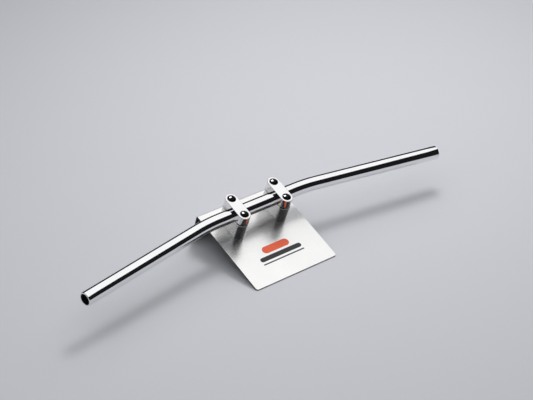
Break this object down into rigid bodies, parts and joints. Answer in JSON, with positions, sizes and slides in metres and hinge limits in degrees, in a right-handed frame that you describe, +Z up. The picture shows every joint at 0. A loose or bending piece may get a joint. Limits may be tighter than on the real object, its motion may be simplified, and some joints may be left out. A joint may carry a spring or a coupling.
{
  "type": "motorcycle handlebar",
  "caption": "Chromed, gently swept motorcycle handlebar held in split clamps with domed bolt covers, on a folded sheet-metal display stand.",
  "frame": {"origin": "middle of the bounding box's footprint, on the surface the stand rests on", "axes": "+X along the bar to the rider's right, +Y forward, away from the rider, +Z up"},
  "size_m": [0.6796, 0.1734, 0.0984],
  "materials": {
    "bar_chrome": "mirror chrome plate on drawn steel tube",
    "clamp_chrome": "polished and chrome plated, bevelled edges",
    "bolt_black": "black oxide",
    "plug_plastic": "glossy moulded black",
    "zinc_steel": "bright zinc plate",
    "stand_steel": "satin, finely brushed",
    "emblem_orange": "printed film",
    "emblem_black": "printed film"
  },
  "bodies": {
    "stand": {"stand_plate": "stand_steel", "emblem_bar": "emblem_orange", "emblem_stripes": "emblem_black", "left_holder": "clamp_chrome", "right_holder": "clamp_chrome", "left_holder_bolt": "zinc_steel", "right_holder_bolt": "zinc_steel", "left_flat_washer": "zinc_steel", "right_flat_washer": "zinc_steel", "left_spring_washer": "zinc_steel", "right_spring_washer": "zinc_steel"},
    "bar": {"bar_tube": "bar_chrome"},
    "left_clamp_top": {"left_cap": "clamp_chrome", "left_front_cap_bolt": "bolt_black", "left_rear_cap_bolt": "bolt_black", "left_front_plug": "plug_plastic", "left_rear_plug": "plug_plastic"},
    "right_clamp_top": {"right_cap": "clamp_chrome", "right_front_cap_bolt": "bolt_black", "right_rear_cap_bolt": "bolt_black", "right_front_plug": "plug_plastic", "right_rear_plug": "plug_plastic"}
  },
  "joints": [
    {"name": "bar_turn", "type": "hinge", "parent": "stand", "child": "bar", "pos_m": [0, 0.01403, 0.07312], "axis": [1, 0, 0], "continuous": true},
    {"name": "left_cap_lift", "type": "slide", "parent": "stand", "child": "left_clamp_top", "axis": [0, -0.342, 0.9397], "range_m": [0, 0.006]},
    {"name": "right_cap_lift", "type": "slide", "parent": "stand", "child": "right_clamp_top", "axis": [0, -0.342, 0.9397], "range_m": [0, 0.006]}
  ]
}
